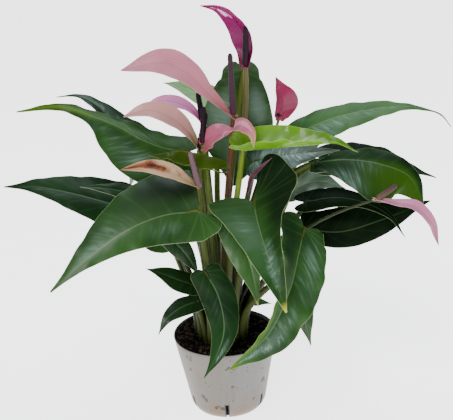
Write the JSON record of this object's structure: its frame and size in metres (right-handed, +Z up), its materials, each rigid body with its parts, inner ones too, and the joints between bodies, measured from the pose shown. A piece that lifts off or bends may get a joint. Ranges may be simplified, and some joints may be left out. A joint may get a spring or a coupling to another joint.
{
  "type": "potted anthurium",
  "caption": "Anthurium house plant in a small round pot: narrow heart-shaped glossy leaves on long stalks, and pink to magenta spathes with upright spadices.",
  "frame": {"origin": "middle of the pot's flat underside, on the surface that it stands on", "axes": "+Z up along the pot's axis; -Y is the front, where the broad front leaves hang over the pot; +X is to the right seen from the front"},
  "size_m": [0.5064, 0.3212, 0.4726],
  "materials": {
    "pot": "satin, slightly stained",
    "soil": "damp crumbly peat",
    "leaf": "glossy, waxy leaf",
    "young_leaf": "glossy young leaf",
    "flower_stem": "smooth green stem",
    "spadix": "finely bumpy",
    "spathe_top": "waxy magenta",
    "spathe_tall_pale": "waxy dusty pink",
    "spathe_violet": "waxy violet pink",
    "spathe_beige": "waxy beige pink",
    "spathe_rose": "waxy rose",
    "spathe_faded": "dry cream with a brown scorch",
    "spathe_back": "waxy crimson",
    "spathe_right": "waxy mauve pink",
    "spathe_narrow": "waxy mauve"
  },
  "bodies": {
    "root": {"pot": "pot", "soil": "soil", "leaf_upper_left": "leaf", "leaf_upper_left_behind": "leaf", "leaf_far_left": "leaf", "leaf_far_left_small": "leaf", "leaf_front_left": "leaf", "leaf_right_shaded": "leaf", "leaf_front_centre": "leaf", "leaf_front_centre_under": "leaf", "leaf_front_right": "leaf", "leaf_front_right_under": "leaf", "leaf_right_broad": "leaf", "leaf_right_broad_lower": "leaf", "leaf_right_grey": "leaf", "leaf_right_dark": "leaf", "leaf_right_lowest": "leaf", "leaf_back_right": "leaf", "leaf_back_upright": "leaf", "leaf_low_left": "leaf", "leaf_low_left_hanging": "leaf", "leaf_over_pot_left": "leaf", "leaf_over_pot_front": "leaf", "leaf_over_rim": "leaf", "leaf_on_soil": "leaf", "leaf_rear_left": "leaf", "leaf_rear_right": "leaf", "leaf_rear_low": "leaf", "leaf_young_left": "young_leaf", "leaf_young_right": "young_leaf", "leaf_back_left": "young_leaf", "stem_top": "flower_stem", "spadix_top": "spadix", "spathe_top": "spathe_top", "stem_tall_pale": "flower_stem", "spadix_tall_pale": "spadix", "spathe_tall_pale": "spathe_tall_pale", "stem_violet": "flower_stem", "spadix_violet": "spadix", "spathe_violet": "spathe_violet", "stem_beige": "flower_stem", "spadix_beige": "spadix", "spathe_beige": "spathe_beige", "stem_rose": "flower_stem", "spadix_rose": "spadix", "spathe_rose": "spathe_rose", "stem_faded": "flower_stem", "spadix_faded": "spadix", "spathe_faded": "spathe_faded", "stem_back": "flower_stem", "spadix_back": "spadix", "spathe_back": "spathe_back", "stem_right": "flower_stem", "spadix_right": "spadix", "spathe_right": "spathe_right", "stem_narrow": "flower_stem", "spathe_narrow": "spathe_narrow"}
  },
  "joints": []
}
